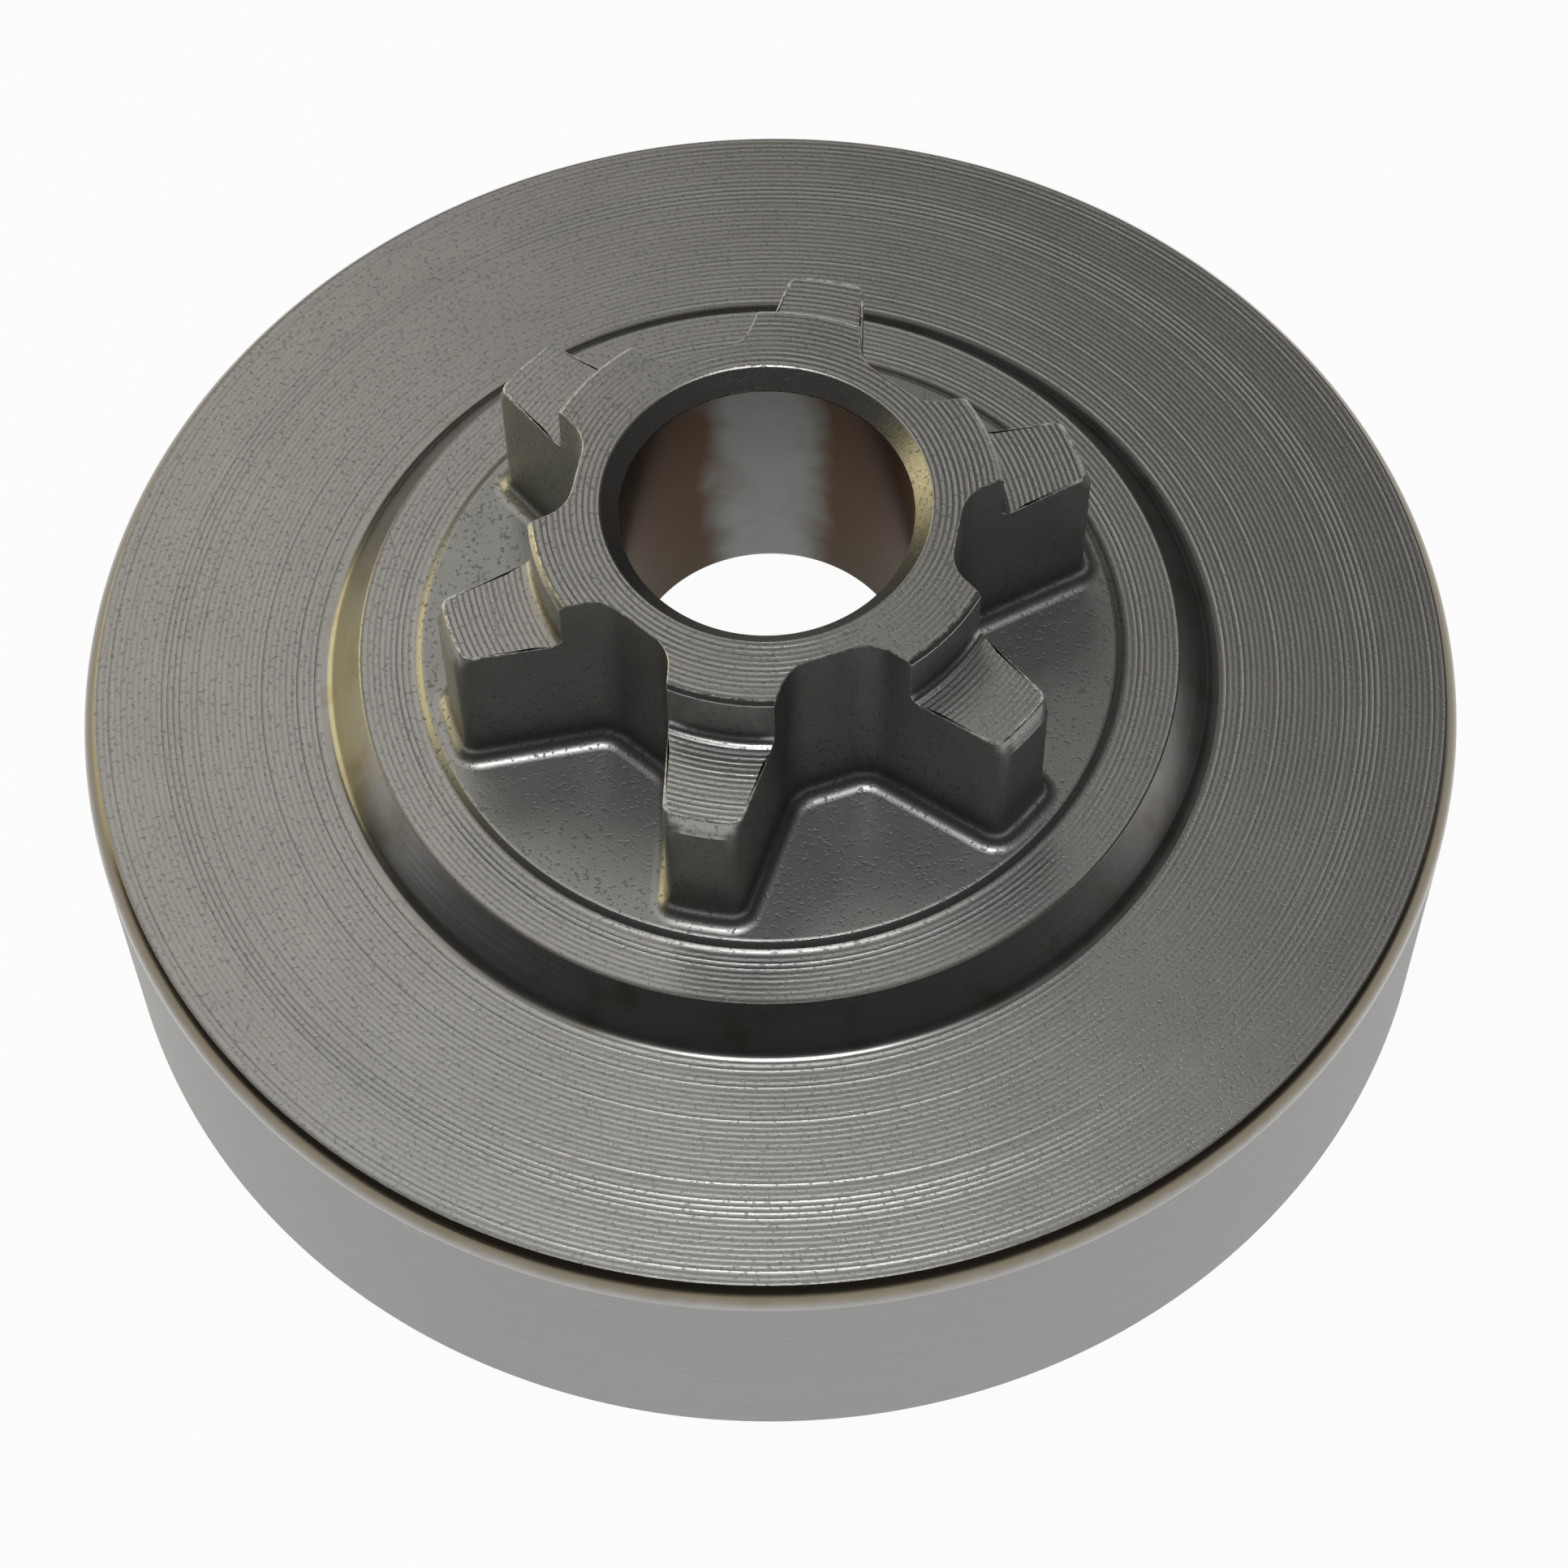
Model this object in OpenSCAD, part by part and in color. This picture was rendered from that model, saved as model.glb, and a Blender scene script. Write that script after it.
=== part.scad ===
// Chainsaw clutch drum with a six tooth spur sprocket, made in one piece.
// The cup opens downward. Z = 0 is the turned outer face of the cup, and the
// bore runs along Z. The first tooth points along +X.

/* [Drum cup] */
// Outer diameter of the cup
drum_d = 64; // [60:0.5:80]
// Depth of the cup, from its outer face to the rim
drum_depth = 14.4; // [11:0.1:20]
// Thickness of the cup's side wall
wall_t = 2.2; // [1.6:0.1:3.2]
// Thickness of the cup's web
web_t = 2.4; // [2:0.1:3.4]
// Radius of the outer shoulder, which the turned face cuts short
shoulder_r = 1.65; // [1:0.05:2.5]
// Width of the shoulder outside the turned face
shoulder_w = 0.65; // [0.3:0.05:0.95]
// Radius of the corner inside the cup
inner_corner_r = 1.6; // [0.8:0.1:2.5]
// Chamfer on both edges of the rim
rim_chamfer = 0.4; // [0.2:0.05:0.7]

/* [Boss] */
// Height of the boss above the turned face
boss_h = 2; // [1:0.1:3]
// Width that the sloping wall of the boss takes up
boss_slope_w = 1.6; // [0.6:0.1:2.5]
// Radius of the fillet at the foot of the boss
boss_foot_r = 0.8; // [0.4:0.1:1.5]
// Width of the turned ring on top of the boss
ring_w = 2.5; // [1.5:0.1:3.5]
// Height of the rough pad above the turned ring
pad_h = 0.3; // [0.1:0.05:0.6]
// Width of the smooth sloping edge of the pad
pad_edge_w = 0.5; // [0.2:0.05:0.9]
// Width of the pad outside the tooth tips
pad_lip_w = 0.9; // [0.9:0.05:1.6]
// Diameter of the shallow recess under the boss, inside the cup
recess_d = 35; // [28:0.5:37]
// Depth of that recess
recess_h = 1; // [0.5:0.1:1.4]

/* [Sprocket] */
// Number of teeth
teeth = 6; // [5:1:7]
// Diameter over the tooth tips
tip_d = 30; // [28:0.1:32]
// Height of the teeth above the pad
tooth_h = 7.9; // [6:0.1:10]
// Tooth width where the teeth meet the collar
tooth_w = 4.6; // [4:0.1:5.1]
// Lean of each flank towards the tooth's middle, in degrees
flank_lean = 8; // [5:0.5:10]
// Distance of each gullet's flat floor from the bore axis
gullet_floor = 8.5; // [8.3:0.05:8.9]
// Corner radius of the gullets
gullet_r = 1.8; // [1.2:0.1:2]
// Corner radius at the tooth tips
tip_corner_r = 0.6; // [0.3:0.05:0.9]
// Width of the bevel round the tooth tips
tip_bevel_w = 0.3; // [0.1:0.05:0.6]
// Height of that bevel
tip_bevel_h = 0.9; // [0.3:0.1:1.5]
// Size of the fillet where the teeth rise from the pad
root_w = 0.8; // [0.4:0.05:0.9]

/* [Collar] */
// Diameter of the turned collar on top of the teeth
collar_d = 21; // [20:0.1:23]
// Height of the collar above the tooth faces
collar_h = 3; // [1.5:0.1:5]
// Size of the fillet at the foot of the collar
collar_foot_w = 0.45; // [0.2:0.05:0.8]
// Chamfer on the outer edge of the collar
collar_chamfer = 0.2; // [0.1:0.05:0.4]

/* [Bore] */
// Diameter of the bore, which a needle cage runs in
bore_d = 13; // [12:0.1:14]
// Chamfer at both ends of the bore
bore_chamfer = 0.8; // [0.4:0.05:0.9]

/* [Hidden] */
$fn = 128;
drum_color = [0.62, 0.61, 0.59];
drum_r = drum_d / 2;
tip_r = tip_d / 2;
collar_r = collar_d / 2;
bore_r = bore_d / 2;
pad_r = tip_r + pad_lip_w;
boss_r = pad_r + pad_edge_w + ring_w;
boss_foot = boss_r + boss_slope_w;
pad_z = boss_h + pad_h;
land_z = pad_z + tooth_h;
top_z = land_z + collar_h;
recess_z = recess_h - web_t;
half_pitch = 180 / teeth;
// How far a cutter or a joining piece runs past the surface that it meets
lap = 0.3;
// Middle of a fillet's arc, as a share of the fillet's size
cove_out = 1.1;
// How far a round runs past true tangency, so that it ends in a crisp line
crease = 0.01;
// How much smaller a fillet is round a corner than the straight one it joins
nest = 0.02;
// Angle that a fillet round a corner runs on into the straight one
nest_angle = 3;
// Distance of each flank from the bore axis, square to the flank
flank_off = collar_r * sin(flank_lean) + tooth_w / 2 * cos(flank_lean);
// Angle of the flank's normal, seen from the tooth and from the gullet
tooth_normal = 90 - flank_lean;
gullet_normal = tooth_normal - half_pitch;
// Arc in each corner of the gullet
gullet_c = [
    gullet_floor + gullet_r,
    (flank_off + gullet_r - (gullet_floor + gullet_r) * cos(gullet_normal)) / sin(gullet_normal)
];
gullet_flank = gullet_c - gullet_r * unit(gullet_normal);
// Arc in each corner of the tooth tip
tip_along = sqrt(pow(tip_r - tip_corner_r, 2) - pow(flank_off - tip_corner_r, 2));
tip_c = (flank_off - tip_corner_r) * unit(tooth_normal) + tip_along * unit(-flank_lean);
tip_angle = atan2(tip_c[1], tip_c[0]);
tip_flank = tip_c + tip_corner_r * unit(tooth_normal);
tip_end = tip_r * unit(tip_angle);
// Distance of a cutter's outer end from the bore axis
clear_r = pad_r + ring_w;

function unit(a) = [cos(a), sin(a)];
function along_flank(p) = p * unit(-flank_lean);

// Material left in a square inside corner by a rounded tool
module cove(w) {
    mid = cove_out * w;
    difference() {
        translate([-lap, -lap]) square(w + lap);
        translate([mid, mid]) circle(r = norm([mid + 2 * crease, mid - w]));
    }
}

// Half section of the cup's outside, with its cut short shoulder
module cup_outside() {
    shoulder_x = drum_r - shoulder_r;
    shoulder_z = -sqrt(pow(shoulder_r, 2) - pow(shoulder_r - shoulder_w, 2));
    difference() {
        translate([0, -drum_depth]) square([drum_r, drum_depth]);
        difference() {
            translate([shoulder_x, shoulder_z]) square(2 * shoulder_r);
            translate([shoulder_x, shoulder_z]) circle(r = shoulder_r);
        }
    }
}

// Half section of the room inside the cup
module cup_inside() {
    room_r = drum_r - wall_t;
    corner_z = -web_t - inner_corner_r;
    union() {
        translate([0, -drum_depth - lap]) square([room_r, drum_depth + lap - web_t - inner_corner_r]);
        translate([0, -drum_depth - lap]) square([room_r - inner_corner_r, drum_depth + lap - web_t]);
        translate([room_r - inner_corner_r, corner_z]) circle(r = inner_corner_r);
        polygon([
            [0, recess_z],
            [recess_d / 2 - recess_h, recess_z],
            [recess_d / 2 + lap, -web_t - lap],
            [0, -web_t - lap]
        ]);
    }
}

// Half section of what the chamfers take off the rim
module rim_edges() {
    rim_mid = drum_r - wall_t / 2;
    run = wall_t / 2 - rim_chamfer;
    difference() {
        translate([rim_mid - wall_t, -drum_depth - lap]) square([2 * wall_t, lap + rim_chamfer]);
        polygon([
            [rim_mid - run, -drum_depth - 2 * lap],
            [rim_mid + run, -drum_depth - 2 * lap],
            [rim_mid + run, -drum_depth],
            [rim_mid + run + 2 * rim_chamfer, -drum_depth + 2 * rim_chamfer],
            [rim_mid - run - 2 * rim_chamfer, -drum_depth + 2 * rim_chamfer],
            [rim_mid - run, -drum_depth]
        ]);
    }
}

// Half section of the boss with the fillet at its foot
module boss_section() {
    wall_angle = atan2(boss_h, -boss_slope_w);
    reach = boss_foot_r * tan((180 - wall_angle) / 2);
    polygon([[0, -lap], [boss_foot, -lap], [boss_foot, 0], [boss_r, boss_h], [0, boss_h]]);
    difference() {
        polygon([
            [boss_foot - boss_slope_w, -lap],
            [boss_foot + reach, -lap],
            [boss_foot + reach, 0],
            [boss_foot + reach * cos(wall_angle), reach * sin(wall_angle)]
        ]);
        translate([boss_foot + reach, boss_foot_r]) circle(r = boss_foot_r);
    }
}

// Half section of the pad that the sprocket stands on
module pad_section() {
    polygon([
        [0, boss_h - lap],
        [pad_r + pad_edge_w, boss_h - lap],
        [pad_r + pad_edge_w, boss_h],
        [pad_r, pad_z],
        [0, pad_z]
    ]);
}

// Half section of the blank that the gullets are cut into
module sprocket_section() {
    polygon([
        [0, pad_z - lap],
        [tip_r, pad_z - lap],
        [tip_r, land_z - tip_bevel_h],
        [tip_r - tip_bevel_w, land_z],
        [collar_r, land_z],
        [collar_r, top_z - collar_chamfer],
        [collar_r - collar_chamfer, top_z],
        [0, top_z]
    ]);
    translate([tip_r, pad_z]) cove(root_w);
    translate([collar_r, land_z]) cove(collar_foot_w);
}

// Half section of the bore with a chamfer at each end
module bore_section() {
    polygon([
        [0, recess_z - lap],
        [bore_r + bore_chamfer + lap, recess_z - lap],
        [bore_r, recess_z + bore_chamfer],
        [bore_r, top_z - bore_chamfer],
        [bore_r + bore_chamfer + lap, top_z + lap],
        [0, top_z + lap]
    ]);
}

// The turned cup with its boss and its pad
module cup_with_boss() {
    rotate_extrude() union() {
        difference() {
            cup_outside();
            cup_inside();
            rim_edges();
        }
        boss_section();
        pad_section();
    }
}

// Plan of the rounding at one corner of a tooth tip
module tip_corner_cut() {
    difference() {
        polygon([
            tip_c,
            tip_flank,
            tip_flank + lap * unit(tooth_normal),
            tip_flank + lap * unit(tooth_normal) + along_flank(clear_r - tip_r),
            clear_r * unit(tip_angle)
        ]);
        translate(tip_c) circle(r = tip_corner_r + crease);
    }
}

// Plan of one gullet, which opens along +X
module gullet_plan() {
    far_y = (flank_off - clear_r * cos(gullet_normal)) / sin(gullet_normal);
    union() {
        polygon([
            [gullet_floor, gullet_c[1]],
            gullet_flank,
            [clear_r, far_y],
            [clear_r, -far_y],
            [gullet_flank[0], -gullet_flank[1]],
            [gullet_floor, -gullet_c[1]]
        ]);
        for (side = [0, 1]) {
            mirror([0, side]) translate(gullet_c) circle(r = gullet_r + crease);
            mirror([0, side]) rotate(-half_pitch) tip_corner_cut();
        }
    }
}

// Fillet where the floor and the corners of one gullet meet the pad
module gullet_root() {
    translate([gullet_floor, -gullet_c[1], 0]) rotate([90, 0, 0])
        linear_extrude(-2 * gullet_c[1]) cove(root_w);
    for (side = [0, 1]) {
        mirror([0, side, 0]) translate([gullet_c[0], gullet_c[1], 0]) rotate(180 - nest_angle)
            rotate_extrude(angle = gullet_normal + 2 * nest_angle)
                translate([gullet_r, 0]) mirror([1, 0]) cove(root_w - nest);
    }
}

// Fillet where the flanks and the tip corners of one tooth meet the pad
module tooth_root() {
    flank_start = rotate_plan(gullet_flank, half_pitch);
    flank_len = norm(tip_flank - flank_start);
    for (side = [0, 1]) {
        mirror([0, side, 0]) {
            translate([tip_flank[0], tip_flank[1], 0]) rotate(-flank_lean) rotate([90, 0, -90])
                linear_extrude(flank_len) mirror([1, 0]) cove(root_w);
            translate([tip_c[0], tip_c[1], 0]) rotate(tip_angle - nest_angle)
                rotate_extrude(angle = tooth_normal - tip_angle + 2 * nest_angle)
                    translate([tip_corner_r, 0]) cove(root_w - nest);
        }
    }
}

function rotate_plan(p, a) = [p[0] * cos(a) - p[1] * sin(a), p[0] * sin(a) + p[1] * cos(a)];

// The sprocket and its collar, with the gullets cut through
module sprocket() {
    difference() {
        rotate_extrude() sprocket_section();
        for (i = [0 : teeth - 1]) {
            rotate((2 * i + 1) * half_pitch) translate([0, 0, pad_z - 2 * lap])
                linear_extrude(top_z) gullet_plan();
        }
    }
}

// The whole drum
module clutch_drum() {
    color(drum_color) difference() {
        union() {
            cup_with_boss();
            sprocket();
            for (i = [0 : teeth - 1]) {
                rotate((2 * i + 1) * half_pitch) translate([0, 0, pad_z]) gullet_root();
                rotate(2 * i * half_pitch) translate([0, 0, pad_z]) tooth_root();
            }
        }
        rotate_extrude() bore_section();
    }
}

clutch_drum();
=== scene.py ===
# %% [markdown]
# # A chainsaw clutch drum
#
# The drum is a steel cup that the clutch shoes grip from inside. On its face stands a
# six tooth sprocket that pulls the chain. One blank is turned on a lathe, and the
# gullets between the teeth are pressed, so two kinds of surface meet: bright turned
# faces with feed marks, and dull walls with a sandy grain. This script models that
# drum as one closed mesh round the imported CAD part, and gives each kind of surface
# its own finish.

import bpy
import bmesh
import math
import numpy as np
from collections import namedtuple
from mathutils import Matrix, Vector


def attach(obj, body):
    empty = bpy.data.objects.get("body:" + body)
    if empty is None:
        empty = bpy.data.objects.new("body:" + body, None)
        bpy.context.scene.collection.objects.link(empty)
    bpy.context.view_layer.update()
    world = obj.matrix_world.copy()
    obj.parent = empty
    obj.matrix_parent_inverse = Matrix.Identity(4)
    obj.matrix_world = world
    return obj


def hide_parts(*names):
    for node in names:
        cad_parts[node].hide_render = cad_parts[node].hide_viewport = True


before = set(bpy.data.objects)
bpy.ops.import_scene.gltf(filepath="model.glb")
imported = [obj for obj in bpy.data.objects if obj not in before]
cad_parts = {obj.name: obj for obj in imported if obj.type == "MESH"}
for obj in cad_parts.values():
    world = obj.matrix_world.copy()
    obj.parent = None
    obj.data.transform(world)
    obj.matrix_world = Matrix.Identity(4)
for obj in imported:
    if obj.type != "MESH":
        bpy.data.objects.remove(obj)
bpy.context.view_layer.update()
scene = bpy.context.scene

# %% [markdown]
# ## Units and turning
#
# Blender works in metres here, and a workshop drawing gives millimetres, so every
# size below is written in millimetres and multiplied by MM once. The photograph was
# taken with the drum turned by 18 degrees, so lamps and camera are placed by their
# angle as seen in the picture, and that turn is added in one place.

# %% Units
MM = 0.001
PICTURE_TURN = math.radians(-18)


def seen_from(azimuth, height, distance):
    """A point in metres. Azimuth 0 is behind the drum in the picture, 90 is right."""
    a = math.radians(azimuth)
    h = math.radians(height)
    flat = Vector((math.sin(a), math.cos(a), 0)) * math.cos(h)
    place = (flat + Vector((0, 0, math.sin(h)))) * distance * MM
    return Matrix.Rotation(PICTURE_TURN, 3, "Z") @ place


# %% [markdown]
# ## Camera
#
# The camera looks down on the drum from 57.5 degrees, close enough that the near
# side looks larger than the far side. A lens of 91 mm on a 36 mm sensor at 185 mm
# gives that much perspective. The three small turns aim it as the photograph was
# aimed, so that the drum sits where it sits in the picture.

# %% Camera
CAMERA_HEIGHT = 57.526
CAMERA_DISTANCE = 185.44
CAMERA_PAN = math.radians(-0.171)
CAMERA_TILT = math.radians(-1.751)
CAMERA_ROLL = math.radians(1.178)

eye = seen_from(180, CAMERA_HEIGHT, CAMERA_DISTANCE)
ahead = -eye.normalized()
right = Matrix.Rotation(PICTURE_TURN, 3, "Z") @ Vector((1, 0, 0))
up = right.cross(ahead)
aim = Matrix.Rotation(CAMERA_PAN, 3, up) @ Matrix.Rotation(CAMERA_TILT, 3, right)
ahead, right, up = aim @ ahead, aim @ right, aim @ up
roll = Matrix.Rotation(CAMERA_ROLL, 3, ahead)
right, up = roll @ right, roll @ up
camera = bpy.data.objects.new("camera", bpy.data.cameras.new("camera"))
scene.collection.objects.link(camera)
camera.data.lens = 91.41
camera.data.sensor_width = 36
camera.data.clip_start = 0.01
turn = Matrix((right, up, -ahead)).transposed().to_4x4()
camera.matrix_world = Matrix.Translation(eye) @ turn
scene.camera = camera
scene.view_settings.view_transform = "Standard"
print("Camera at", tuple(round(v, 4) for v in eye))

# %% [markdown]
# ## Floor
#
# The drum lies on a plain white sheet. The camera and the metal both see that sheet
# as white, and a part of its own shading is kept so that the drum's shadow stays. A
# bright world would be simpler, but it would show in the steel from every side and
# wash its dark sides out. The small class below keeps node trees readable: sums are
# written as sums.

# %% Floor
FLOOR_Z = -14.4
FLOOR_WIDTH = 4.0
SHEET_WHITE = 0.96
PAPER_GRAIN = 900.0
PAPER_TONE = 0.84

bpy.ops.object.select_all(action="DESELECT")
bpy.ops.mesh.primitive_plane_add(size=FLOOR_WIDTH, location=(0, 0, FLOOR_Z * MM))
floor = bpy.context.active_object
floor.name = "floor"
bpy.ops.object.transform_apply(location=True)


class Wire:
    """One output socket. Sums on it add Math nodes, and add() adds any other node."""

    def __init__(self, socket):
        self.socket = socket

    def add(self, kind, settings=None, inputs=None, output=0):
        tree = self.socket.id_data
        node = tree.nodes.new(kind)
        for name, value in (settings or {}).items():
            setattr(node, name, value)
        for name, value in (inputs or {}).items():
            if isinstance(value, Wire):
                tree.links.new(value.socket, node.inputs[name])
            else:
                node.inputs[name].default_value = value
        return Wire(node.outputs[output])

    def sum(self, operation, *values):
        return self.add("ShaderNodeMath", {"operation": operation}, dict(enumerate(values)))

    def __add__(self, other):
        return self.sum("ADD", self, other)

    def __sub__(self, other):
        return self.sum("SUBTRACT", self, other)

    def __rsub__(self, other):
        return self.sum("SUBTRACT", other, self)

    def __mul__(self, other):
        return self.sum("MULTIPLY", self, other)

    def __truediv__(self, other):
        return self.sum("DIVIDE", self, other)

    __radd__ = __add__
    __rmul__ = __mul__


def new_material(name):
    """An empty material, with its output node and a first wire to build from."""
    material = bpy.data.materials.new(name)
    material.use_nodes = True
    tree = material.node_tree
    tree.nodes.clear()
    output = tree.nodes.new("ShaderNodeOutputMaterial")
    place = tree.nodes.new("ShaderNodeTexCoord")
    return material, output, Wire(place.outputs["Object"])


sheet, sheet_out, place = new_material("white_sheet")
grain = place.add("ShaderNodeTexNoise", None, {"Vector": place, "Scale": PAPER_GRAIN})
paper = grain * 0.02 + PAPER_TONE
shade = place.add("ShaderNodeCombineColor", None, {0: paper, 1: paper, 2: paper})
lit = place.add("ShaderNodeBsdfDiffuse", None, {"Color": shade})
white = place.add("ShaderNodeEmission", None, {"Strength": 1.0})
camera_ray = place.add("ShaderNodeLightPath", None, None, "Is Camera Ray")
glossy_ray = Wire(camera_ray.socket.node.outputs["Is Glossy Ray"])
through_ray = Wire(camera_ray.socket.node.outputs["Is Transmission Ray"])
seen = camera_ray.sum("MAXIMUM", camera_ray.sum("MAXIMUM", camera_ray, glossy_ray), through_ray)
both = {0: seen * SHEET_WHITE, 1: lit, 2: white}
mixed = place.add("ShaderNodeMixShader", None, both)
sheet.node_tree.links.new(mixed.socket, sheet_out.inputs["Surface"])
floor.data.materials.append(sheet)
print("Floor at", FLOOR_Z, "mm")

# %% [markdown]
# ## World and lamps
#
# Metal shows little but what it mirrors, so the lamps decide how the drum looks. One
# large soft lamp stands at the back left, where the flat faces mirror it. A weak one
# at the back right, a low warm one from the left and a dim room fill the rest. A
# small strong lamp overhead draws the thin lights along fillets and feed marks.

# %% World and lamps
ROOM_COLOUR = (0.045, 0.045, 0.045, 1)

world = bpy.data.worlds.new("room")
world.use_nodes = True
world.node_tree.nodes["Background"].inputs["Color"].default_value = ROOM_COLOUR
scene.world = world


def soft_lamp(name, azimuth, height, distance, size, radiance, colour):
    """A square lamp that looks at the drum. A radiance of 1 mirrors as plain white."""
    data = bpy.data.lights.new(name, "AREA")
    data.size = size * MM
    data.energy = radiance * math.pi * data.size**2
    data.color = colour
    lamp = bpy.data.objects.new(name, data)
    scene.collection.objects.link(lamp)
    lamp.location = seen_from(azimuth, height, distance)
    lamp.rotation_euler = (-lamp.location).to_track_quat("-Z", "Y").to_euler()
    print(name, "gives", round(data.energy, 3), "W")


soft_lamp("lamp_back_left", -37, 49, 420, 320, 0.82, (1.0, 0.965, 0.92))
soft_lamp("lamp_back_right", 34, 54, 420, 360, 0.04, (1.0, 1.0, 0.92))
soft_lamp("lamp_low_left", -62, 13, 420, 250, 1.75, (1.0, 0.88, 0.48))
soft_lamp("lamp_overhead", 180, 87, 400, 46, 56.0, (0.95, 0.98, 1.0))

# %% [markdown]
# ## Sizes of the drum
#
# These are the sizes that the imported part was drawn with. The mesh keeps to them,
# and adds what a drawing leaves out: feed marks, and edges with the sharpness taken
# off.

# %% Sizes in millimetres
DRUM_R = 32.0
DRUM_DEPTH = 14.4
WALL = 2.2
WEB = 2.4
SHOULDER_R = 1.65
SHOULDER_W = 0.65
INNER_CORNER_R = 1.6
RIM_CHAMFER = 0.4
BOSS_H = 2.0
BOSS_R = 18.9
BOSS_FOOT = 20.5
BOSS_FILLET = 0.8
PAD_R = 15.9
PAD_Z = 2.3
PAD_EDGE = 16.4
RECESS_R = 17.5
RECESS_Z = -1.4
TEETH = 6
TIP_R = 15.0
TIP_BEVEL_R = 14.7
TIP_BEVEL_H = 0.9
LAND_Z = 10.2
TOP_Z = 13.2
COLLAR_R = 10.5
COLLAR_FOOT = 0.45
COLLAR_CHAMFER = 0.2
BORE_R = 6.5
BORE_CHAMFER = 0.8
FLANK_OFF = 3.7389
FLANK_LEAN = 8.0
GULLET_FLOOR = 8.5
GULLET_R = 1.8
GULLET_C = (10.3, -1.018)
GULLET_SWEEP = 52.0
ROOT_FILLET = 0.8
TIP_CORNER = 0.6
EDGE_BREAK = 0.05
SUPPORT = 0.05
print("Drum:", 2 * DRUM_R, "mm across and", DRUM_DEPTH + TOP_Z, "mm high")

# %% [markdown]
# ## The turned section
#
# Everything round is one section swept about the bore axis, as a lathe makes it. It
# could be a stack of cylinders, but then each corner would need its own bevel. Here
# the section is drawn once, from the edge of the rough pad out over the boss, the
# face, the wall and the rim, back inside the cup and up through the bore. On the two
# turned faces the tool left a groove at each turn, so the section dips between fine
# ridges there. No two turns cut quite alike, and the depth of each dip varies.

# %% Draw the section
AROUND = 288
FEED = 0.27
FEED_DEPTH = 0.0155
FEED_STEPS = 4
FILLET_SECTION_STEPS = 9
SHOULDER_STEPS = 12
CORNER_SECTION_STEPS = 8
PAD_ROUND = [(0, 0), (0.1, 0.02), (0.22, 0.09)]
PAD_HOLLOW = [(0.12, 0.05), (0.02, 0.01)]
rng = np.random.RandomState(7)


def arc(centre, radius, start, end, steps):
    """Points in the section from one angle in degrees to another, both included."""
    angles = np.radians(np.linspace(start, end, steps + 1))
    return [(centre[0] + radius * math.cos(a), centre[1] + radius * math.sin(a)) for a in angles]


def feed_marks(start, end, z):
    """Shallow grooves from one radius to another, with ridges that touch height z."""
    turns = round((end - start) / FEED)
    pitch = (end - start) / turns
    points = [(start, z)]
    for turn in range(turns):
        depth = FEED_DEPTH * rng.uniform(0.75, 1.15)
        ridge = z - FEED_DEPTH * rng.uniform(0.0, 0.12)
        for step in range(1, FEED_STEPS + 1):
            across = step / FEED_STEPS
            dip = depth * (1 - (2 * across - 1) ** 2)
            height = z - dip if step < FEED_STEPS else ridge
            points.append((start + (turn + across) * pitch, height))
    points[-1] = (end, z)
    return points


def broken(before, corner, after, size=EDGE_BREAK):
    """Two points that take the sharpness off one corner of the section."""
    corner = Vector(corner)
    back = (Vector(before) - corner).normalized() * size
    on = (Vector(after) - corner).normalized() * size
    return [tuple(corner + back), tuple(corner + on)]


wall_slope = math.degrees(math.atan2(BOSS_H, BOSS_R - BOSS_FOOT))
reach = BOSS_FILLET * math.tan(math.radians((180 - wall_slope) / 2))
fillet_out = BOSS_FOOT + reach
shoulder_x = DRUM_R - SHOULDER_R
shoulder_z = -math.sqrt(SHOULDER_R**2 - (SHOULDER_R - SHOULDER_W) ** 2)
face_edge = (DRUM_R - SHOULDER_W, 0)
shoulder_start = math.degrees(math.atan2(-shoulder_z, face_edge[0] - shoulder_x))
room_r = DRUM_R - WALL
rim_out = (DRUM_R - RIM_CHAMFER, -DRUM_DEPTH)
rim_in = (room_r + RIM_CHAMFER, -DRUM_DEPTH)
wall_low = (DRUM_R, -DRUM_DEPTH + RIM_CHAMFER)
room_low = (room_r, -DRUM_DEPTH + RIM_CHAMFER)
corner_in = (room_r - INNER_CORNER_R, -WEB - INNER_CORNER_R)
recess_out = (RECESS_R, -WEB)
recess_in = (RECESS_R - (RECESS_Z + WEB), RECESS_Z)
bore_low = [(BORE_R + BORE_CHAMFER, RECESS_Z), (BORE_R, RECESS_Z + BORE_CHAMFER)]
bore_top = [(BORE_R, TOP_Z - BORE_CHAMFER), (BORE_R + BORE_CHAMFER, TOP_Z)]

section = [(PAD_R + out, PAD_Z - down) for out, down in PAD_ROUND]
section += [(PAD_EDGE - back, BOSS_H + up) for back, up in PAD_HOLLOW]
section += feed_marks(PAD_EDGE + 0.03, BOSS_R - EDGE_BREAK, BOSS_H)
section += [(BOSS_R + 0.6 * EDGE_BREAK, BOSS_H - 0.8 * EDGE_BREAK)]
foot_arc = arc((fillet_out, BOSS_FILLET), BOSS_FILLET, 90 + wall_slope, 270, FILLET_SECTION_STEPS)
section += [tuple(Vector(foot_arc[0]).lerp(Vector((BOSS_R, BOSS_H)), 0.05))]
section += foot_arc
section += feed_marks(fillet_out + 0.05, face_edge[0] - EDGE_BREAK, 0)
shoulder_c = (shoulder_x, shoulder_z)
section += arc(shoulder_c, SHOULDER_R, shoulder_start - 1.5, 0, SHOULDER_STEPS)
section += [(DRUM_R, shoulder_z - SUPPORT)]
section += broken(section[-1], wall_low, rim_out)
section += broken(wall_low, rim_out, rim_in)
section += broken(rim_out, rim_in, room_low)
section += broken(rim_in, room_low, (room_r, corner_in[1]))
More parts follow.
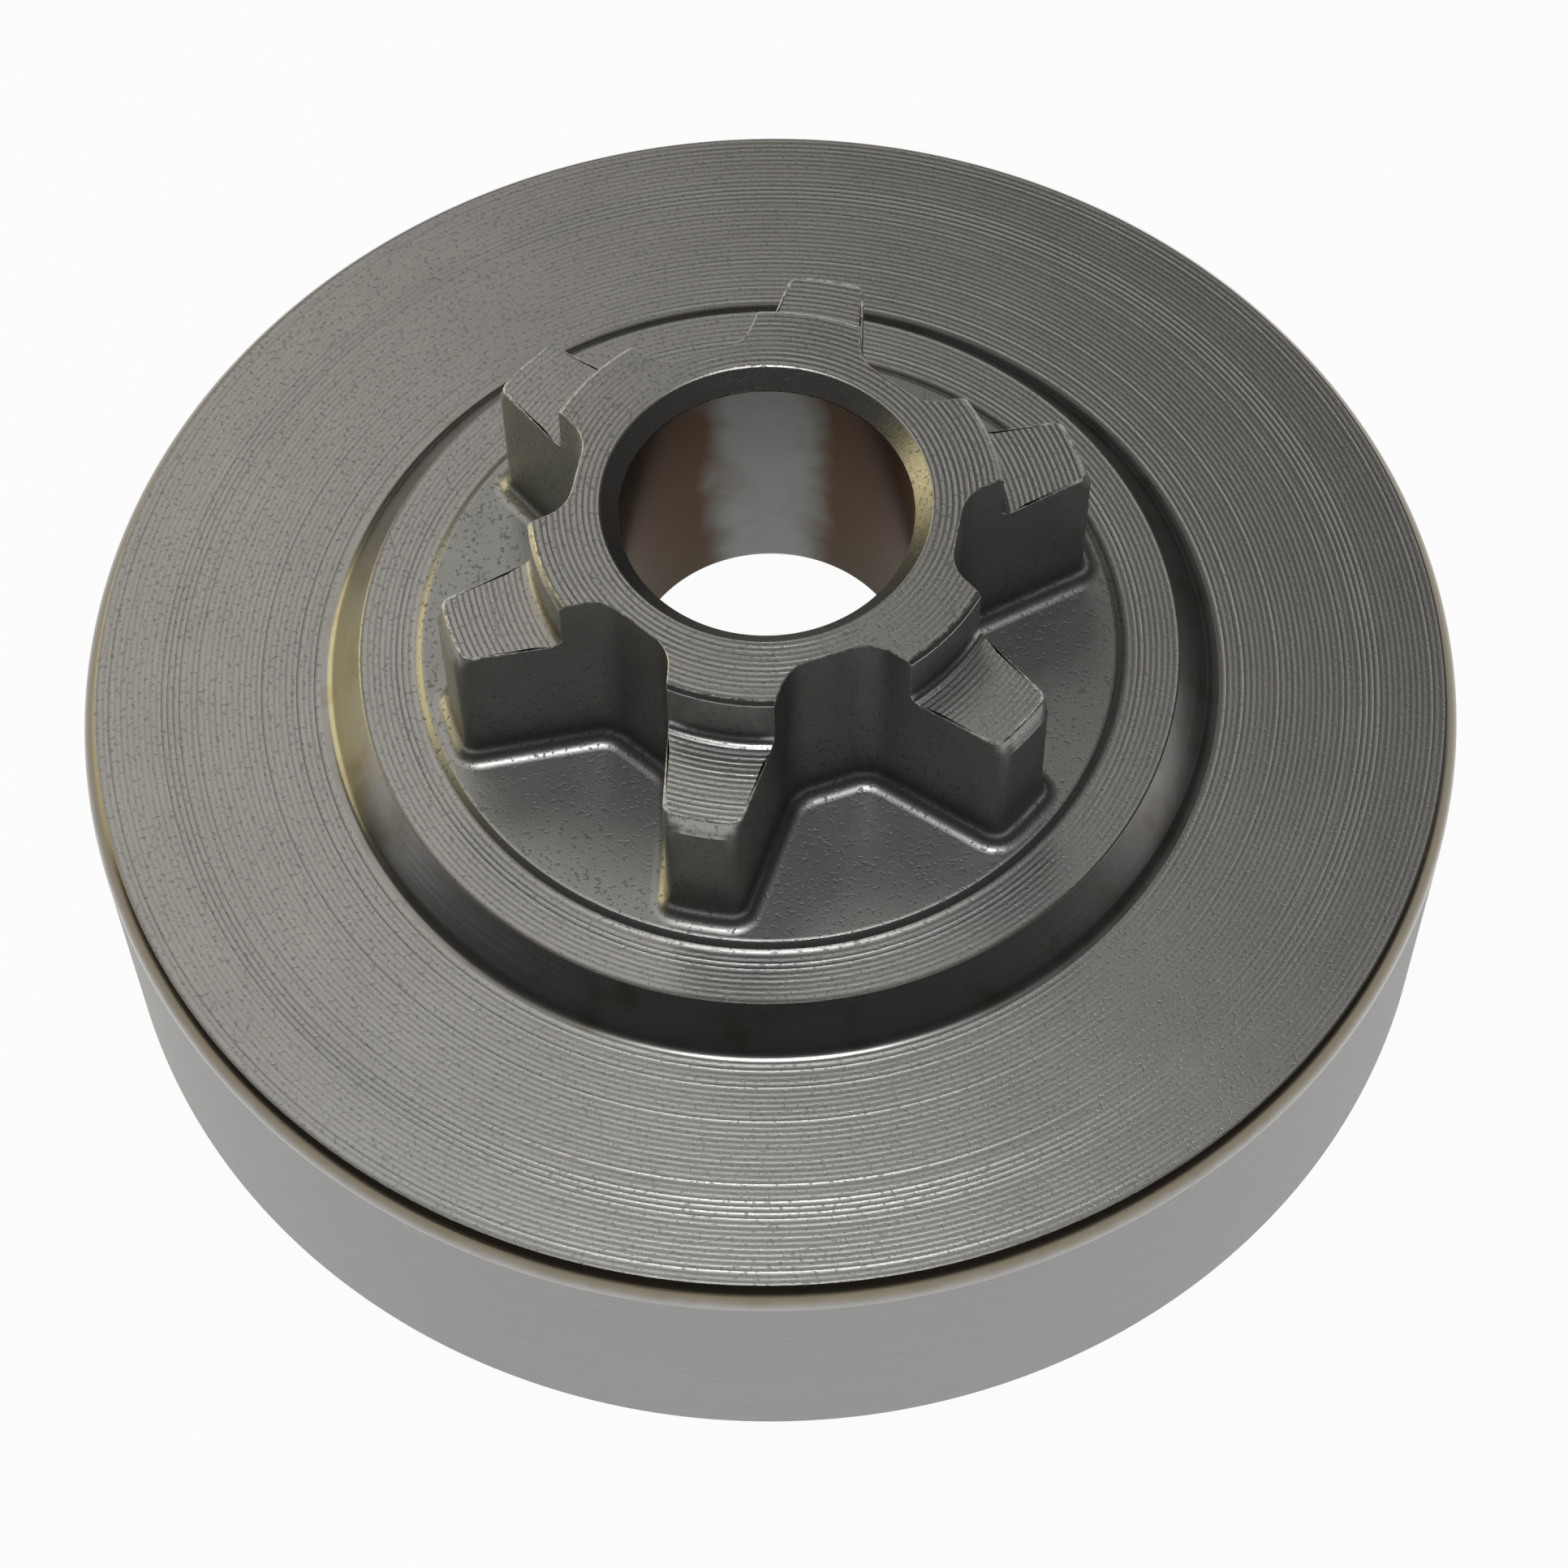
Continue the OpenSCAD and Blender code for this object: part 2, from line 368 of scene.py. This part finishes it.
section += [(room_r, corner_in[1] - SUPPORT)]
section += arc(corner_in, INNER_CORNER_R, 0, 90, CORNER_SECTION_STEPS)
section += [(corner_in[0] - SUPPORT, -WEB)]
section += broken(section[-1], recess_out, recess_in)
section += broken(recess_out, recess_in, bore_low[0])
section += broken(recess_in, bore_low[0], bore_low[1])
section += broken(bore_low[0], bore_low[1], bore_top[0])
section += broken(bore_low[1], bore_top[0], bore_top[1])
section += broken(bore_top[0], bore_top[1], (COLLAR_R, TOP_Z))
print("Section has", len(section), "points")

# %% [markdown]
# ## Spin the section
#
# Spin sweeps the drawn line round the bore axis in 288 steps, 48 for each tooth, so
# that the sprocket's outline meets it point for point. The last copy falls on the
# first, and merging doubles closes the seam.

# %% Spin
bpy.ops.object.select_all(action="DESELECT")
line = bpy.data.meshes.new("clutch_drum_steel")
corners = [(r * MM, 0, z * MM) for r, z in section]
line.from_pydata(corners, [(i, i + 1) for i in range(len(corners) - 1)], [])
drum = bpy.data.objects.new("clutch_drum_steel", line)
scene.collection.objects.link(drum)
bpy.context.view_layer.objects.active = drum
drum.select_set(True)
bpy.ops.object.mode_set(mode="EDIT")
bpy.ops.mesh.select_all(action="SELECT")
bpy.ops.mesh.spin(steps=AROUND, angle=2 * math.pi, center=(0, 0, 0), axis=(0, 0, 1))
bpy.ops.mesh.select_all(action="SELECT")
bpy.ops.mesh.remove_doubles(threshold=0.0005 * MM)
bpy.ops.object.mode_set(mode="OBJECT")
print("Spun body has", len(drum.data.polygons), "faces")

# %% [markdown]
# ## The sprocket's outline
#
# Seen from above, half a tooth and half a gullet make one run of points: the tip,
# its rounded corner, the straight flank, the gullet's corner and its flat floor. The
# rest is that run mirrored and turned six times. Growing the outline pushes it into
# the gullets, which gives the fillet at the foot. Cutting it at a smaller radius
# gives the collar on top.

# %% Outline of one level
TIP_STEPS = 3
CORNER_STEPS = 6
OUTER_FLANK_STEPS = 4
INNER_FLANK_STEPS = 2
GULLET_STEPS = 7
FLOOR_STEPS = 2


def unit(angle):
    a = math.radians(angle)
    return np.array([math.cos(a), math.sin(a)])


def turned_by(points, angle):
    return points @ np.array([unit(angle), unit(angle + 90)])


def along_corner(cut_r, corner):
    """How far out along the flank a tip of that radius and corner begins."""
    return math.sqrt((cut_r - corner) ** 2 - (FLANK_OFF - corner) ** 2)


def half_outline(cut_r, corner, grow, split):
    """Points from the middle of a tooth to the middle of the gullet beside it."""
    normal = unit(90 - FLANK_LEAN)
    outward = unit(-FLANK_LEAN)
    begin = along_corner(cut_r, corner)
    tip_c = (FLANK_OFF - corner) * normal + begin * outward
    tip_angle = math.degrees(math.atan2(tip_c[1], tip_c[0]))
    gullet_c = turned_by(np.array([GULLET_C]), 30)[0]
    flank_in = (gullet_c - GULLET_R * unit(30 + GULLET_SWEEP)) @ outward
    split = begin if split is None else split
    on_flank = np.concatenate([
        np.linspace(begin, split, OUTER_FLANK_STEPS + 1)[:-1],
        np.linspace(split, flank_in, INNER_FLANK_STEPS + 1)[:-1],
    ])
    floor_x = GULLET_FLOOR + grow
    run = [(cut_r + grow) * unit(a) for a in np.linspace(0, tip_angle, TIP_STEPS + 1)[:-1]]
    run += [
        tip_c + (corner + grow) * unit(a)
        for a in np.linspace(tip_angle, 90 - FLANK_LEAN, CORNER_STEPS + 1)[:-1]
    ]
    run += [(FLANK_OFF + grow) * normal + s * outward for s in on_flank]
    run += [
        gullet_c - (GULLET_R - grow) * unit(30 + a)
        for a in np.linspace(GULLET_SWEEP, 0, GULLET_STEPS + 1)[:-1]
    ]
    floor_y = np.linspace(GULLET_C[1], 0, FLOOR_STEPS + 1)
    run += list(turned_by(np.array([(floor_x, y) for y in floor_y]), 30))
    return np.array(run)


def level(cut_r, z, corner=TIP_CORNER, grow=0.0, split=None, tooth_grow=None):
    """The whole outline at one height, in metres, with tooth 0 along +X."""
    run = half_outline(cut_r, corner, grow, split)
    if tooth_grow is not None:
        edge = half_outline(cut_r, corner, tooth_grow, split)
        on_tooth = TIP_STEPS + CORNER_STEPS + OUTER_FLANK_STEPS
        run[:on_tooth] = edge[:on_tooth]
    mirrored = turned_by(run[:0:-1] * (1, -1), 360 / TEETH)
    sector = np.vstack([run[:-1], mirrored])
    ring = np.vstack([turned_by(sector, k * 360 / TEETH) for k in range(TEETH)])
    return np.column_stack([ring, np.full(len(ring), z)]) * MM


def circle(radius, z):
    ring = [radius * unit(k * 360 / AROUND) for k in range(AROUND)]
    return np.column_stack([ring, np.full(AROUND, z)]) * MM


# %% [markdown]
# ## Raise the sprocket
#
# The sprocket is pulled up from the pad ring by ring, as one would by hand: extrude
# the open loop, then lay the new loop on its outline. The rings follow the fillet at
# the foot, the walls, the bevel on the tips, the faces of the teeth, the collar with
# its own small fillet, and end on the bore's top edge. Two close rings at each real
# edge take its sharpness off, and a narrow strip inside the edge of each tooth's face
# carries the burr with its painted highlight.

# %% Rings from the pad to the bore
FILLET_STEPS = 7
FOOT_STEPS = 7
COLLAR_CORNER = 0.06
BURR_WIDTH = 0.08
PAD_LIP = 0.04
EASE = 0.02
foot_r = COLLAR_R + COLLAR_FOOT
split = along_corner(foot_r, COLLAR_CORNER)

rings = [circle(PAD_R, PAD_Z), circle(PAD_R - PAD_LIP, PAD_Z)]
rings.append(level(TIP_R, PAD_Z, TIP_CORNER, ROOT_FILLET + EASE, split))
for a in np.radians(np.linspace(90, 180, FILLET_STEPS + 1)):
    grow = ROOT_FILLET * (1 + math.cos(a))
    rings.append(level(TIP_R, PAD_Z + ROOT_FILLET * (1 - math.sin(a)), TIP_CORNER, grow, split))
rings.append(level(TIP_R, PAD_Z + ROOT_FILLET + SUPPORT, TIP_CORNER, 0, split))
rings.append(level(TIP_R, LAND_Z - TIP_BEVEL_H, TIP_CORNER, 0, split))
rings.append(level(TIP_BEVEL_R + EASE, LAND_Z - EDGE_BREAK, TIP_CORNER, 0, split))
rings.append(level(TIP_BEVEL_R, LAND_Z, TIP_CORNER, 0, split, -EDGE_BREAK))
rings.append(level(TIP_BEVEL_R, LAND_Z, TIP_CORNER, 0, split, -EDGE_BREAK - BURR_WIDTH))
for a in np.radians(np.linspace(270, 180, FOOT_STEPS + 1)):
    cut_r = foot_r + COLLAR_FOOT * math.cos(a)
    rings.append(level(cut_r, LAND_Z + COLLAR_FOOT * (1 + math.sin(a)), COLLAR_CORNER))
rings.append(level(COLLAR_R, TOP_Z - COLLAR_CHAMFER - EDGE_BREAK, COLLAR_CORNER))
rings.append(level(COLLAR_R - EASE, TOP_Z - COLLAR_CHAMFER, COLLAR_CORNER))
rings.append(level(COLLAR_R - COLLAR_CHAMFER + 0.03, TOP_Z - EDGE_BREAK, COLLAR_CORNER))
rings.append(level(COLLAR_R - COLLAR_CHAMFER, TOP_Z, COLLAR_CORNER, -EDGE_BREAK))
rings.append(circle(section[-1][0], TOP_Z))


def pull_up(rings):
    """Start on the first ring and extrude the open loop on to each of the others."""
    bpy.ops.object.select_all(action="DESELECT")
    bpy.ops.mesh.primitive_circle_add(vertices=AROUND, radius=PAD_R * MM)
    body = bpy.context.active_object
    for vertex, place in zip(body.data.vertices, rings[0]):
        vertex.co = place
    bpy.ops.object.mode_set(mode="EDIT")
    mesh = bmesh.from_edit_mesh(body.data)
    for ring in rings[1:]:
        bpy.ops.mesh.extrude_edges_move()
        new = [v for v in mesh.verts if v.select]
        for vertex, place in zip(new, ring):
            vertex.co = place
    bmesh.update_edit_mesh(body.data)
    bpy.ops.object.mode_set(mode="OBJECT")
    return body


sprocket = pull_up(rings)
print("Sprocket has", len(sprocket.data.polygons), "faces")

# %% [markdown]
# ## Join the two
#
# The sprocket's first and last loops lie on the two open loops of the spun body.
# Joined and merged they make one closed mesh. Between the rings of a tooth's face
# many points fall together, and merging them also clears the empty faces there.

# %% Join and close
bpy.ops.object.select_all(action="DESELECT")
sprocket.select_set(True)
drum.select_set(True)
bpy.context.view_layer.objects.active = drum
bpy.ops.object.join()
bpy.ops.object.mode_set(mode="EDIT")
bpy.ops.mesh.select_all(action="SELECT")
bpy.ops.mesh.remove_doubles(threshold=0.0008 * MM)
bpy.ops.mesh.select_all(action="SELECT")
bpy.ops.mesh.normals_make_consistent(inside=False)
bpy.ops.mesh.select_all(action="DESELECT")
bpy.ops.mesh.select_non_manifold()
open_points = sum(v.select for v in bmesh.from_edit_mesh(drum.data).verts)
bpy.ops.object.mode_set(mode="OBJECT")
print("Drum has", len(drum.data.polygons), "faces and", open_points, "open points")

# %% [markdown]
# ## Shading
#
# Arcs are drawn with facets that turn by less than 15 degrees, and every real edge
# turns by more, so shading is smooth up to that angle and crisp beyond. The line
# where a tooth's face meets the collar's fillet is marked, since the face
# is flat and must not borrow the fillet's slope.

# %% Smooth shading
SMOOTH_ANGLE = 18

bpy.ops.object.mode_set(mode="EDIT")
bpy.ops.mesh.select_all(action="DESELECT")
mesh = bmesh.from_edit_mesh(drum.data)
for edge in mesh.edges:
    ends = [v.co / MM for v in edge.verts]
    edge.select = all(abs(p.z - LAND_Z) < 0.001 and abs(p.xy.length - foot_r) < 0.01 for p in ends)
bpy.ops.mesh.mark_sharp()
bpy.ops.object.mode_set(mode="OBJECT")
bpy.ops.object.shade_smooth_by_angle(angle=math.radians(SMOOTH_ANGLE))

# %% [markdown]
# ## Finishes
#
# All surfaces are the same steel, and the way each one was made sets it apart. A
# pattern that follows the lathe must run round the axis, so it reads the direction
# from the axis and the distance from it instead of plain X and Y, and has no seam.

# %% Helpers for the finishes
LathePlace = namedtuple("LathePlace", "mm radius z cx cy")


def lathe_place(place):
    """Distance from the axis, height, and the direction round the axis, in millimetres."""
    mm = place.add("ShaderNodeVectorMath", {"operation": "SCALE"}, {0: place, "Scale": 1 / MM})
    x = mm.add("ShaderNodeSeparateXYZ", None, {0: mm})
    y = Wire(x.socket.node.outputs["Y"])
    z = Wire(x.socket.node.outputs["Z"])
    radius = x.sum("SQRT", x * x + y * y)
    return LathePlace(mm, radius, z, x / radius, y / radius)


def noise(place, scale, detail=2.0, roughness=0.5):
    inputs = {"Vector": place, "Scale": scale, "Detail": detail, "Roughness": roughness}
    return place.add("ShaderNodeTexNoise", None, inputs)


def round_noise(at, spread, across, detail=2.0, roughness=0.5):
    """Noise drawn out round the axis. A small spread makes long lines, a large one short."""
    inputs = {0: at.cx * spread, 1: at.cy * spread, 2: across}
    stretched = at.mm.add("ShaderNodeCombineXYZ", None, inputs)
    return noise(stretched, 1.0, detail, roughness)


def ramp(value, low, high, kind="SMOOTHSTEP"):
    """0 below low, 1 above high, and smooth between."""
    inputs = {"Value": value, "From Min": low, "From Max": high}
    return value.add("ShaderNodeMapRange", {"interpolation_type": kind}, inputs)


def grey(tone, green=1.0, blue=1.0):
    """A colour whose red is the tone, and whose green and blue are parts of it."""
    parts = {0: tone, 1: tone * green, 2: tone * blue}
    return tone.add("ShaderNodeCombineColor", None, parts)


def blend(factor, first, second):
    inputs = {"Factor": factor, 6: first, 7: second}
    return factor.add("ShaderNodeMix", {"data_type": "RGBA"}, inputs, 2)


def bump(height):
    """Height is in millimetres."""
    return height.add("ShaderNodeBump", None, {"Height": height, "Strength": 1.0, "Distance": MM})


def finish_steel(name, make, **constants):
    """A steel material. make() gives its colour, roughness and normal at each place."""
    material, output, place = new_material(name)
    colour, roughness, normal = make(lathe_place(place))
    inputs = {"Base Color": colour, "Metallic": 1.0, "Roughness": roughness, "Normal": normal}
    shader = place.add("ShaderNodeBsdfPrincipled", None, {**inputs, **constants})
    material.node_tree.links.new(shader.socket, output.inputs["Surface"])
    return material


# %% [markdown]
# ### Turned faces
#
# The face of the drum, the ring on the boss, the faces of the teeth and the top of
# the collar are left as the lathe tool cut them. The drum's own feed marks are in the
# mesh. The teeth and the collar are cut across by gullets, where modelled grooves
# would cross the outline's points, so their marks are a fine wave in the bump. Rings
# and short streaks of tone follow the tool, and pores and sand lie under them.

# %% Turned faces
FACE_TONE = 0.34
LAND_TONE = 0.33
COLLAR_TONE = 0.29
TOOTH_FEED_DEPTH = 0.010


def turned(at, ridge, base):
    """A turned finish. ridge is the height in millimetres of extra feed marks."""
    rings = round_noise(at, 0.8, at.radius * 8.0, 3.0)
    streaks = round_noise(at, 14.0, at.radius * 5.0)
    sand = noise(at.mm, 7.0, 2.0, 0.6)
    pores = ramp(noise(at.mm, 4.6, 1.0), 0.58, 0.68)
    patches = noise(at.mm, 0.2)
    specks = ramp(noise(at.mm, 11.0, 0.0), 0.72, 0.78)
    tone = base + rings * 0.05 + streaks * 0.05 + patches * 0.08 - pores * 0.10
    colour = grey(tone, 0.975, 0.925)
    roughness = 0.33 + sand * 0.08 + pores * 0.1 - specks * 0.15
    wave = at.radius.sum("SINE", at.radius * (2 * math.pi / FEED) + rings * 3.0)
    depth = round_noise(at, 2.0, at.radius * 2.0)
    height = sand * 0.0055 + rings * 0.003 - pores * 0.003 + wave * depth * ridge
    return colour, roughness, bump(height)


def turned_face(at):
    return turned(at, 0.0, FACE_TONE)


def turned_land(at):
    return turned(at, TOOTH_FEED_DEPTH, LAND_TONE)


def turned_collar(at):
    return turned(at, TOOTH_FEED_DEPTH, COLLAR_TONE)


# %% [markdown]
# ### Burr and painted edge highlight
#
# The gullets are pressed before the faces are turned, and the tool drags a thin burr
# of bare bright steel over each edge it crosses. It could be modelled as a torn lip,
# far thinner than anything here that carries shape. A narrow uneven strip along the
# edges stands for it. It is painted far brighter than the steel round it, as a painted
# highlight of the light its edge catches, and lifts the far teeth off the face behind them.

# %% Burr and painted edge highlight
def burr_and_painted_highlight(at):
    ragged = noise(at.mm, 3.0, 3.0, 0.7)
    # Bright tone: the bare steel of the burr, raised further as a painted highlight along the
    # edges.
    tone = ramp(ragged, 0.35, 0.65) * 0.5 + 0.3
    return grey(tone, 0.99, 0.95), 0.35 + ragged * 0.3, bump(ragged * 0.05)


# %% [markdown]
# ### Wall of the boss
#
# The sloping wall round the boss is cut with the side of the tool, which leaves it
# smoother than the flats, with olive stains that run down it. A low roughness lets
# it mirror the dark room in front and the warm light on the left, as on the real one.

# %% Wall of the boss
BOSS_STAIN = (0.22, 0.18, 0.12, 1)


def boss_wall(at):
    lines = round_noise(at, 1.0, at.z * 6.0, 3.0, 0.6)
    stains = ramp(round_noise(at, 9.0, at.z * 0.5, 3.0, 0.6), 0.45, 0.75)
    tone = 0.31 + lines * 0.08
    clean = grey(tone, 0.98, 0.93)
    colour = blend(stains * 0.6, clean, BOSS_STAIN)
    return colour, 0.2 + lines * 0.08, bump(lines * 0.003)


# %% [markdown]
# ### Rough pressed surfaces
#
# The pad, the flanks and the gullets keep the skin they got in the press: an even
# grey with a sandy grain and open pores, and no direction to it. Plain noise does
# that, where the turned finish needs noise drawn out round the axis.

# %% Rough pressed surfaces
def pressed(at):
    sand = noise(at.mm, 7.0, 3.0, 0.6)
    pores = ramp(noise(at.mm, 5.0, 1.0), 0.58, 0.70)
    patches = noise(at.mm, 0.5)
    tone = 0.34 + patches * 0.08 - pores * 0.14
    colour = grey(tone, 1.0, 0.94)
    roughness = 0.33 + sand * 0.08 + pores * 0.12
    return colour, roughness, bump(sand * 0.0055 - pores * 0.004)


# %% [markdown]
# ### Brushed side wall
#
# The outer wall is ground or belted in the lathe, which leaves hair lines round it.
# They are far finer than a pixel, so most of the look comes from an anisotropic
# gloss that spreads its light up and down, with faint bands of tone over it.

# %% Brushed side wall
def brushed_wall(at):
    lines = round_noise(at, 1.5, at.z * 9.0, 4.0, 0.8)
    streaks = round_noise(at, 20.0, at.z * 4.0)
    tone = 0.27 + lines * 0.18 + streaks * 0.05
    colour = grey(tone, 0.99, 0.965)
    return colour, 0.34 + lines * 0.08, bump(lines * 0.012)


# %% [markdown]
# ### Rounded shoulder
#
# A form tool rounds the corner between face and wall and leaves it the smoothest of
# all. Its upper part mirrors the dark room and draws the thin black line round the
# face. Its colour is a darker olive at the top that fades to grey lower down, towards the wall.

# %% Rounded shoulder
SHOULDER_OLIVE = (0.22, 0.19, 0.135, 1)


def shoulder(at):
    lines = round_noise(at, 1.0, at.z * 7.0, 3.0, 0.7)
    streaks = round_noise(at, 30.0, at.z * 0.8)
    tone = 0.32 + lines * 0.10
    upper = ramp(at.z + streaks * 0.4, -1.15, -0.2)
    # Darker olive at the top of the shoulder, fading to grey lower down.
    colour = blend(upper, grey(tone, 0.99, 0.96), SHOULDER_OLIVE)
    return colour, 0.17 + lines * 0.08, bump(lines * 0.006)


# %% [markdown]
# ### Bore
#
# The bore is the running surface for the needle cage, and it is finely ground. Its
# colour is painted reflection: brown for the dark surround below that a bore mirrors,
# and one broad band of grey on the far side that is a painted highlight. Colour alone
# would look painted on, so the same clouds also move the edges of that band and the
# depth of the brown, and the gloss is stretched along the bore.

# %% Bore
PAINTED_HIGHLIGHT_SIDE = math.radians(72)
PAINTED_REFLECTION_BROWN_LOW = (0.10, 0.07, 0.045, 1)
PAINTED_REFLECTION_BROWN_HIGH = (0.115, 0.066, 0.034, 1)
PAINTED_HIGHLIGHT_GREY = (0.30, 0.31, 0.30, 1)


def bore_with_painted_reflection(at):
    lines = round_noise(at, 1.5, at.z * 10.0, 3.0, 0.6)
    clouds = noise(at.mm, 0.45)
    # The brown is a painted reflection, and the grey band on one side is a painted highlight, both
    # fixed on the bore.
    facing = at.cx * math.cos(PAINTED_HIGHLIGHT_SIDE) + at.cy * math.sin(PAINTED_HIGHLIGHT_SIDE)
    painted_highlight_band = ramp(facing + clouds * 0.12, 0.93, 1.06)
    warmth = ramp(at.z + clouds * 4.0, 2.0, 9.0)
    colour = blend(painted_highlight_band, blend(warmth, PAINTED_REFLECTION_BROWN_LOW, PAINTED_REFLECTION_BROWN_HIGH), PAINTED_HIGHLIGHT_GREY)
    return colour, 0.40 + lines * 0.08, bump(lines * 0.010)


# %% [markdown]
# ## Assign the finishes
#
# The drum stays one mesh, as it is one piece of steel, and each face is given its
# finish by where it lies and which way it looks. Separate objects would be easier to
# colour, but they would leave seams where the real drum has none.

# %% Assign the finishes
ACROSS_GRAIN = {"Anisotropic": 0.85, "Anisotropic Rotation": 0.25}
NARROW_AREA = 0.1
materials = {
    "turned_face": finish_steel("turned_face", turned_face),
    "turned_land": finish_steel("turned_land", turned_land),
    "turned_collar": finish_steel("turned_collar", turned_collar),
    "burr_and_painted_highlight": finish_steel("burr_and_painted_highlight", burr_and_painted_highlight),
    "boss_wall": finish_steel("boss_wall", boss_wall),
    "pressed": finish_steel("pressed", pressed),
    "shoulder": finish_steel("shoulder", shoulder),
    "brushed_wall": finish_steel("brushed_wall", brushed_wall, **ACROSS_GRAIN),
    "bore": finish_steel("bore", bore_with_painted_reflection, **ACROSS_GRAIN),
}
names = list(materials)
for material in materials.values():
    drum.data.materials.append(material)


def surface_of(face):
    """The finish of one face, from its place and the way it looks."""
    centre = face.center / MM
    radius = centre.xy.length
    if radius > face_edge[0] and shoulder_z < centre.z < -2 * FEED_DEPTH:
        return "shoulder"
    if radius > room_r + RIM_CHAMFER and RIM_CHAMFER - DRUM_DEPTH < centre.z < shoulder_z:
        return "brushed_wall"
    if radius < BORE_R + BORE_CHAMFER and centre.z > RECESS_Z:
        return "bore" if abs(face.normal.z) < 0.3 else "turned_face"
    if radius < PAD_EDGE and PAD_Z - 0.3 < centre.z < LAND_Z - TIP_BEVEL_H:
        return "pressed"
    narrow = face.area / MM**2 < NARROW_AREA and abs(centre.z - LAND_Z) < EDGE_BREAK
    if narrow and radius > foot_r + EASE and face.normal.z > 0.3:
        return "burr_and_painted_highlight"
    if TOP_Z - EDGE_BREAK < centre.z < TOP_Z - 0.01 and radius > BORE_R + 1.5 * BORE_CHAMFER:
        return "burr_and_painted_highlight"
    if LAND_Z - TIP_BEVEL_H < centre.z < TOP_Z - 0.01 and abs(face.normal.z) < 0.1:
        outward = face.normal.xy.dot(centre.xy.normalized())
        return "turned_collar" if outward > 0.98 else "pressed"
    if centre.z > LAND_Z - TIP_BEVEL_H:
        return "turned_collar" if centre.z > TOP_Z - 0.3 else "turned_land"
    if BOSS_R < radius < fillet_out and 0 < centre.z < BOSS_H:
        return "boss_wall"
    return "turned_face"


for face in drum.data.polygons:
    face.material_index = names.index(surface_of(face))

print("Finishes:", ", ".join(names))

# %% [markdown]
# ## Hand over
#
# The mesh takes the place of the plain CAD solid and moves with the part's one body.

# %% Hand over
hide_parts("clutch_drum")
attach(drum, "root")
